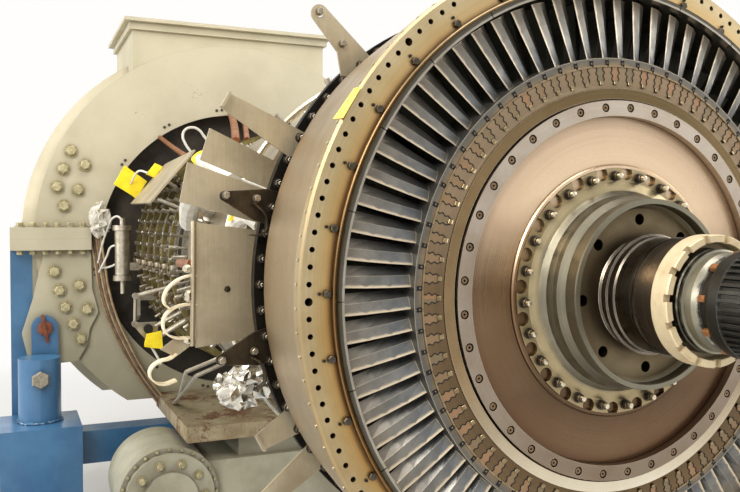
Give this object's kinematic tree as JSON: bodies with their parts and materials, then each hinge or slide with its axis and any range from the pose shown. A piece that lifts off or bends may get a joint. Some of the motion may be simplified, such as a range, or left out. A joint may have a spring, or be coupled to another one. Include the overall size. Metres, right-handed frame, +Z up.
{
  "type": "gas turbine",
  "caption": "Gas turbine core on its steel stand: open bladed turbine rotor, heat tinted casing, bracketed core, vaned compressor and top-inlet air housing.",
  "frame": {"origin": "on the floor under the middle of the machine's overall length and width", "axes": "+X along the rotor axis towards the splined output end, +Z up, +Y to the left when looking along +X"},
  "size_m": [4.671, 2.62, 2.767],
  "materials": {
    "bronzed_steel": "satin, heat tinted",
    "blade_steel": "satin",
    "lip_olive": "satin",
    "ring_steel": "satin",
    "hub_tan": "satin",
    "dark_steel": "satin",
    "cream_ring": "satin",
    "heat_gold": "heat tinted",
    "pale_steel": "satin",
    "heat_brown": "heat tinted",
    "blackened_steel": "matt",
    "sheet_steel": "matt",
    "cast_gray": "cast",
    "olive_steel": "matt",
    "gray_green_paint": "matt, rust patches",
    "cream_paint": "matt",
    "stand_blue": "gloss, chipped"
  },
  "bodies": {
    "machine": {"exhaust_flange": "heat_gold", "shroud_ring": "pale_steel", "turbine_casing": "heat_brown", "nozzle_ring": "dark_steel", "bearing_housing": "dark_steel", "rear_flange": "blackened_steel", "turbine_frame": "heat_brown", "radial_straps": "sheet_steel", "pipe_brackets": "sheet_steel", "heat_panels": "sheet_steel", "core_flanges": "sheet_steel", "combustor_casing": "pale_steel", "compressor_casing": "cast_gray", "vane_rings": "olive_steel", "vane_levers": "pale_steel", "actuator": "pale_steel", "bell_crank": "sheet_steel", "intake_plate_upper": "gray_green_paint", "intake_plate_lower": "gray_green_paint", "split_flange_upper": "gray_green_paint", "split_flange_lower": "gray_green_paint", "intake_shell_upper": "cream_paint", "intake_shell_lower": "cream_paint", "intake_bulkhead": "gray_green_paint", "intake_back_plate": "cream_paint", "inlet_hood": "gray_green_paint", "side_brackets": "gray_green_paint", "ledge": "gray_green_paint", "gearbox_housing": "gray_green_paint", "gearbox_covers": "gray_green_paint", "stand_columns": "stand_blue", "stand_posts": "stand_blue", "stand_lugs": "stand_blue", "stand_uprights": "stand_blue", "cross_beams": "stand_blue", "bottom_rails": "stand_blue", "front_cradle": "stand_blue"},
    "rotor": {"turbine_disc": "bronzed_steel", "turbine_blades": "blade_steel", "blade_lip_ring": "lip_olive", "cover_ring": "ring_steel", "hub_flange": "hub_tan", "shaft_sleeve": "dark_steel", "lock_ring": "cream_ring", "splined_shaft": "dark_steel"}
  },
  "joints": [
    {"name": "rotor_spin", "type": "hinge", "parent": "machine", "child": "rotor", "pos_m": [1.8705, 0, 1.45], "axis": [1, 0, 0], "continuous": true}
  ]
}
